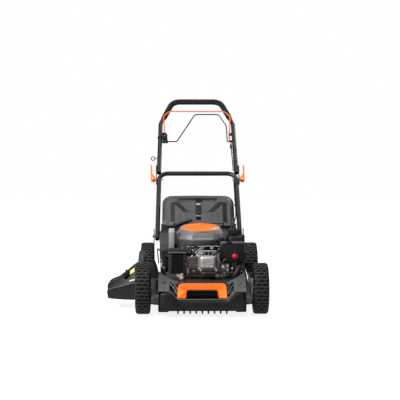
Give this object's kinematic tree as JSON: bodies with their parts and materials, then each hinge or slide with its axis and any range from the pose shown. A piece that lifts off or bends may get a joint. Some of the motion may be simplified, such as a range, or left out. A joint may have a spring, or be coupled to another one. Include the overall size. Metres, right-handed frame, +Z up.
{
  "type": "petrol lawn mower",
  "caption": "Walk-behind petrol rotary mower with a round steel deck, rear grass bag, side chute, height lever and folding handle.",
  "frame": {"origin": "on the ground, below the middle of the bounding box with the handle up and the chute and bag fitted", "axes": "+Z up, -Y towards the front of the mower, +X to the side away from the chute"},
  "size_m": [0.66, 1.4686, 0.9758],
  "materials": {
    "axle_steel": "zinc plated",
    "bag_fabric": "woven polyester",
    "bag_plastic": "textured",
    "black_plastic": "fine texture",
    "black_rubber": "matt",
    "black_steel": "black powder coat",
    "cast_iron": "as cast",
    "ceramic_steel": "plated",
    "cover_plastic": "fine texture",
    "deck_paint": "black powder coat",
    "engine_alloy": "as cast",
    "exhaust_steel": "heat resistant black",
    "foam": "foam",
    "grey_plastic": "satin",
    "orange_plastic": "semi gloss",
    "orange_wire": "powder coat",
    "red_rubber": "smooth",
    "steel": "machined",
    "tyre": "moulded tread, matt",
    "wheel_plastic": "moulded"
  },
  "bodies": {
    "deck": {"deck_shell": "deck_paint", "front_cover": "cover_plastic", "front_grab_handle": "orange_plastic", "wash_port": "black_plastic", "handle_brackets": "black_steel", "handle_bolts": "axle_steel", "gearbox": "engine_alloy", "drive_belt": "black_rubber", "crankcase": "engine_alloy", "cylinder_block": "engine_alloy", "cylinder_head": "engine_alloy", "valve_cover": "engine_alloy", "spark_plug": "ceramic_steel", "blower_housing": "grey_plastic", "starter_cover": "orange_plastic", "fuel_tank": "black_plastic", "air_cleaner": "black_plastic", "carburettor": "engine_alloy", "muffler": "exhaust_steel", "deck_cable": "black_rubber"},
    "crank": {"crankshaft": "steel", "flywheel": "cast_iron", "blade_adapter": "steel", "blade": "black_steel", "blade_bolt": "axle_steel"},
    "gearbox_input": {"gearbox_pulley": "steel"},
    "front_axle_assembly": {"front_axle": "axle_steel"},
    "rear_axle_assembly": {"rear_axle": "axle_steel", "height_lever": "black_steel"},
    "height_link": {"link_rod": "axle_steel"},
    "front_left_wheel": {"front_left_tyre": "tyre", "front_left_rim": "wheel_plastic"},
    "front_right_wheel": {"front_right_tyre": "tyre", "front_right_rim": "wheel_plastic"},
    "rear_left_wheel": {"rear_left_tyre": "tyre", "rear_left_rim": "wheel_plastic"},
    "rear_right_wheel": {"rear_right_tyre": "tyre", "rear_right_rim": "wheel_plastic"},
    "recoil": {"recoil_pulley": "black_plastic"},
    "starter_handle": {"starter_grip": "black_rubber"},
    "tank_cap": {"fuel_cap": "black_plastic"},
    "primer": {"primer_bulb": "red_rubber"},
    "chute": {"side_chute": "black_plastic", "side_flap": "grey_plastic"},
    "door": {"rear_door": "bag_plastic"},
    "trailing_flap": {"trail_flap": "black_rubber"},
    "grass_bag": {"bag_hood": "bag_plastic", "bag_body": "bag_fabric"},
    "lower_handle_frame": {"lower_handle": "black_steel", "lower_cable": "black_rubber"},
    "upper_handle_frame": {"upper_handle": "black_steel", "grip_sleeve": "foam", "control_pod": "black_plastic", "rope_guide": "axle_steel", "cam_bolts": "axle_steel", "upper_cable": "black_rubber"},
    "brake_lever": {"brake_bail": "orange_wire"},
    "drive_lever": {"drive_bail": "black_steel"},
    "left_cam": {"cam_lever_left": "orange_plastic"},
    "right_cam": {"cam_lever_right": "orange_plastic"}
  },
  "joints": [
    {"name": "crank_spin", "type": "hinge", "parent": "deck", "child": "crank", "pos_m": [0.062, -0.32635, 0.06], "axis": [0, 0, 1], "continuous": true},
    {"name": "gearbox_pulley_spin", "type": "hinge", "parent": "deck", "child": "gearbox_input", "pos_m": [0.062, -0.01435, 0.084], "axis": [0, 0, 1], "continuous": true},
    {"name": "height_adjust", "type": "hinge", "parent": "deck", "child": "rear_axle_assembly", "pos_m": [0.062, -0.05573, 0.10164], "axis": [-1, 0, 0], "range_deg": [0, 50]},
    {"name": "front_height_adjust", "type": "hinge", "parent": "deck", "child": "front_axle_assembly", "pos_m": [0.062, -0.66573, 0.07664], "axis": [-1, 0, 0], "range_deg": [0, 50]},
    {"name": "link_rod_swing", "type": "hinge", "parent": "front_axle_assembly", "child": "height_link", "pos_m": [0.249, -0.69531, 0.14008], "axis": [-1, 0, 0], "range_deg": [-50, 0]},
    {"name": "front_left_wheel_spin", "type": "hinge", "parent": "front_axle_assembly", "child": "front_left_wheel", "pos_m": [-0.173, -0.61135, 0.102], "axis": [1, 0, 0], "continuous": true},
    {"name": "front_right_wheel_spin", "type": "hinge", "parent": "front_axle_assembly", "child": "front_right_wheel", "pos_m": [0.297, -0.61135, 0.102], "axis": [1, 0, 0], "continuous": true},
    {"name": "rear_left_wheel_spin", "type": "hinge", "parent": "rear_axle_assembly", "child": "rear_left_wheel", "pos_m": [-0.173, -0.00135, 0.127], "axis": [1, 0, 0], "continuous": true},
    {"name": "rear_right_wheel_spin", "type": "hinge", "parent": "rear_axle_assembly", "child": "rear_right_wheel", "pos_m": [0.297, -0.00135, 0.127], "axis": [1, 0, 0], "continuous": true},
    {"name": "starter_pull", "type": "slide", "parent": "deck", "child": "starter_handle", "axis": [-0.1398, 0.8787, 0.4564], "range_m": [0, 0.15], "stiffness_N_per_m": 20},
    {"name": "recoil_spin", "type": "hinge", "parent": "deck", "child": "recoil", "pos_m": [0.062, -0.32635, 0.306], "axis": [0, 0, 1], "range_deg": [0, 180]},
    {"name": "fuel_cap_turn", "type": "hinge", "parent": "deck", "child": "tank_cap", "pos_m": [0.21, -0.29635, 0.315], "axis": [0, 0, 1], "range_deg": [0, 90]},
    {"name": "primer_press", "type": "slide", "parent": "deck", "child": "primer", "axis": [0, 1, 0], "range_m": [0, 0.005], "stiffness_N_per_m": 300},
    {"name": "chute_lift", "type": "hinge", "parent": "deck", "child": "chute", "pos_m": [-0.208, -0.32635, 0.132], "axis": [0, 1, 0], "range_deg": [0, 50]},
    {"name": "rear_door_lift", "type": "hinge", "parent": "deck", "child": "door", "pos_m": [0.062, 0.06765, 0.331], "axis": [1, 0, 0], "range_deg": [0, 40]},
    {"name": "trail_flap_swing", "type": "hinge", "parent": "deck", "child": "trailing_flap", "pos_m": [0.062, 0.06565, 0.148], "axis": [1, 0, 0], "range_deg": [-15, 60]},
    {"name": "bag_remove", "type": "slide", "parent": "deck", "child": "grass_bag", "axis": [0, 1, 0], "range_m": [0, 0.45]},
    {"name": "lower_handle_fold", "type": "hinge", "parent": "deck", "child": "lower_handle_frame", "pos_m": [0.062, 0.04929, 0.28128], "axis": [-1, 0, 0], "range_deg": [-90, 0]},
    {"name": "upper_handle_fold", "type": "hinge", "parent": "lower_handle_frame", "child": "upper_handle_frame", "pos_m": [0.062, 0.31049, 0.54615], "axis": [1, 0, 0], "range_deg": [0, 140]},
    {"name": "brake_bail_squeeze", "type": "hinge", "parent": "upper_handle_frame", "child": "brake_lever", "pos_m": [0.062, 0.5408, 0.7797], "axis": [-1, 0, 0], "range_deg": [0, 9], "stiffness_Nm_per_rad": 2, "springref_deg": -11.46},
    {"name": "drive_bail_squeeze", "type": "hinge", "parent": "upper_handle_frame", "child": "drive_lever", "pos_m": [0.062, 0.50288, 0.74125], "axis": [-1, 0, 0], "range_deg": [0, 10], "stiffness_Nm_per_rad": 2, "springref_deg": -11.46},
    {"name": "cam_lever_left_open", "type": "hinge", "parent": "upper_handle_frame", "child": "left_cam", "pos_m": [-0.157, 0.31049, 0.54615], "axis": [0, -0.712, 0.7022], "range_deg": [0, 110]},
    {"name": "cam_lever_right_open", "type": "hinge", "parent": "upper_handle_frame", "child": "right_cam", "pos_m": [0.281, 0.31049, 0.54615], "axis": [0, 0.712, -0.7022], "range_deg": [0, 110]}
  ],
  "couplings": [
    {"joint": "gearbox_pulley_spin", "follows": "crank_spin", "ratio": 0.77143},
    {"joint": "front_height_adjust", "follows": "height_adjust", "ratio": 1},
    {"joint": "link_rod_swing", "follows": "height_adjust", "ratio": -1},
    {"joint": "recoil_spin", "follows": "starter_pull", "rad_per_m": 20}
  ]
}
